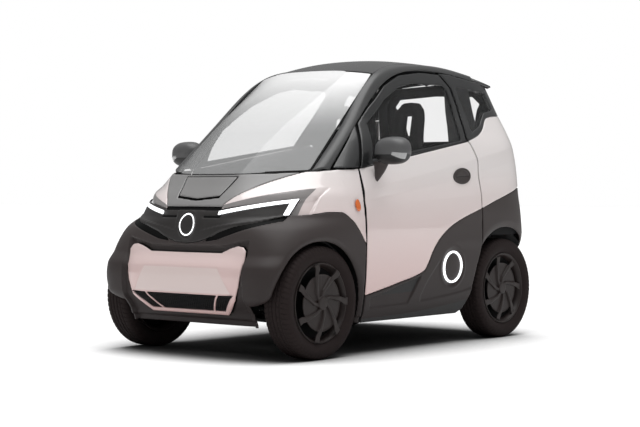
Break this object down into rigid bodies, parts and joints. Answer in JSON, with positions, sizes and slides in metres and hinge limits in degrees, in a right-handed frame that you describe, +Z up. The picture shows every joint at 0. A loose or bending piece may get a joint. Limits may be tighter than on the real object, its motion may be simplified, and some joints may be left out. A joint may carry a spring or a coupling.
{
  "type": "two-seat electric microcar",
  "caption": "Closed two-seat microcar with hinged doors, tailgate and bonnet lid, steered front wheels and free-rolling wheels.",
  "frame": {"origin": "on the ground at the middle of the whole car's box", "axes": "-Y forward, +X the car's left, +Z up"},
  "size_m": [1.6322, 2.2806, 1.5524],
  "materials": {
    "white_paint": "gloss",
    "bonnet_grey": "satin",
    "roof_black": "gloss",
    "dark_cladding": "satin",
    "black_plastic": "matte",
    "clear_glass": "clear",
    "dark_glass": "tinted",
    "light_bar": "clear lens",
    "red_lens": "red lens",
    "amber_lens": "amber lens",
    "tyre_rubber": "matte",
    "wheel_brown": "matte",
    "chassis_black": "satin",
    "seat_cloth": "woven",
    "battery_grey": "matte",
    "motor_metal": "cast"
  },
  "bodies": {
    "body": {"lower_grille": "black_plastic", "nose_panel": "white_paint", "front_bumper": "dark_cladding", "lamp_band": "black_plastic", "wings": "white_paint", "bonnet": "bonnet_grey", "windscreen": "clear_glass", "roof": "roof_black", "side_frames": "roof_black", "rear_bumper": "dark_cladding", "quarter_panels": "white_paint", "rear_pillars": "roof_black", "fixed_glass": "dark_glass", "floor_tub": "chassis_black", "wheel_liners": "black_plastic", "dashboard": "black_plastic", "seats": "seat_cloth", "battery_packs": "battery_grey", "drive_unit": "motor_metal", "front_suspension": "chassis_black", "rear_suspension": "chassis_black", "headlamps": "light_bar", "tail_lamps": "red_lens", "wing_indicators": "amber_lens"},
    "door_left": {"door_shell_left": "dark_cladding", "door_skin_left": "white_paint", "door_glass_left": "dark_glass", "door_handle_left": "black_plastic", "mirror_left": "dark_cladding"},
    "steered_knuckle_left": {"knuckle_left": "chassis_black"},
    "road_wheel_front_left": {"tyre_front_left": "tyre_rubber", "wheel_front_left": "wheel_brown"},
    "road_wheel_rear_left": {"tyre_rear_left": "tyre_rubber", "wheel_rear_left": "wheel_brown"},
    "door_right": {"door_shell_right": "dark_cladding", "door_skin_right": "white_paint", "door_glass_right": "dark_glass", "door_handle_right": "black_plastic", "mirror_right": "dark_cladding"},
    "steered_knuckle_right": {"knuckle_right": "chassis_black"},
    "road_wheel_front_right": {"tyre_front_right": "tyre_rubber", "wheel_front_right": "wheel_brown"},
    "road_wheel_rear_right": {"tyre_rear_right": "tyre_rubber", "wheel_rear_right": "wheel_brown"},
    "tailgate_body": {"tailgate": "white_paint", "tailgate_glass": "dark_glass"},
    "bonnet_lid_body": {"bonnet_lid": "bonnet_grey"},
    "hand_wheel": {"steering_wheel": "black_plastic"}
  },
  "joints": [
    {"name": "steer_left", "type": "hinge", "parent": "body", "child": "steered_knuckle_left", "pos_m": [0.528, -0.78, 0.2785], "axis": [0, 0, 1], "range_deg": [-28, 28]},
    {"name": "steer_right", "type": "hinge", "parent": "body", "child": "steered_knuckle_right", "pos_m": [-0.528, -0.78, 0.2785], "axis": [0, 0, 1], "range_deg": [-28, 28]},
    {"name": "hand_wheel_turn", "type": "hinge", "parent": "body", "child": "hand_wheel", "pos_m": [0.255, -0.3, 0.85], "axis": [0, 0.8829, 0.4695], "range_deg": [-392, 392]},
    {"name": "wheel_spin_front_left", "type": "hinge", "parent": "steered_knuckle_left", "child": "road_wheel_front_left", "pos_m": [0.546, -0.78, 0.2785], "axis": [1, 0, 0], "continuous": true},
    {"name": "wheel_spin_rear_left", "type": "hinge", "parent": "body", "child": "road_wheel_rear_left", "pos_m": [0.546, 0.84, 0.2785], "axis": [1, 0, 0], "continuous": true},
    {"name": "door_hinge_left", "type": "hinge", "parent": "body", "child": "door_left", "pos_m": [0.616, -0.385, 0.515], "axis": [0, 0, -1], "range_deg": [0, 62]},
    {"name": "wheel_spin_front_right", "type": "hinge", "parent": "steered_knuckle_right", "child": "road_wheel_front_right", "pos_m": [-0.546, -0.78, 0.2785], "axis": [1, 0, 0], "continuous": true},
    {"name": "wheel_spin_rear_right", "type": "hinge", "parent": "body", "child": "road_wheel_rear_right", "pos_m": [-0.546, 0.84, 0.2785], "axis": [1, 0, 0], "continuous": true},
    {"name": "door_hinge_right", "type": "hinge", "parent": "body", "child": "door_right", "pos_m": [-0.616, -0.385, 0.515], "axis": [0, 0, 1], "range_deg": [0, 62]},
    {"name": "tailgate_hinge", "type": "hinge", "parent": "body", "child": "tailgate_body", "pos_m": [0, 0.854, 1.523], "axis": [1, 0, 0], "range_deg": [0, 75]},
    {"name": "bonnet_lid_hinge", "type": "hinge", "parent": "body", "child": "bonnet_lid_body", "pos_m": [0, -0.9141, 0.8924], "axis": [-1, 0, 0], "range_deg": [0, 60]}
  ],
  "couplings": [
    {"joint": "steer_right", "follows": "steer_left", "ratio": 1},
    {"joint": "hand_wheel_turn", "follows": "steer_left", "ratio": 14}
  ]
}
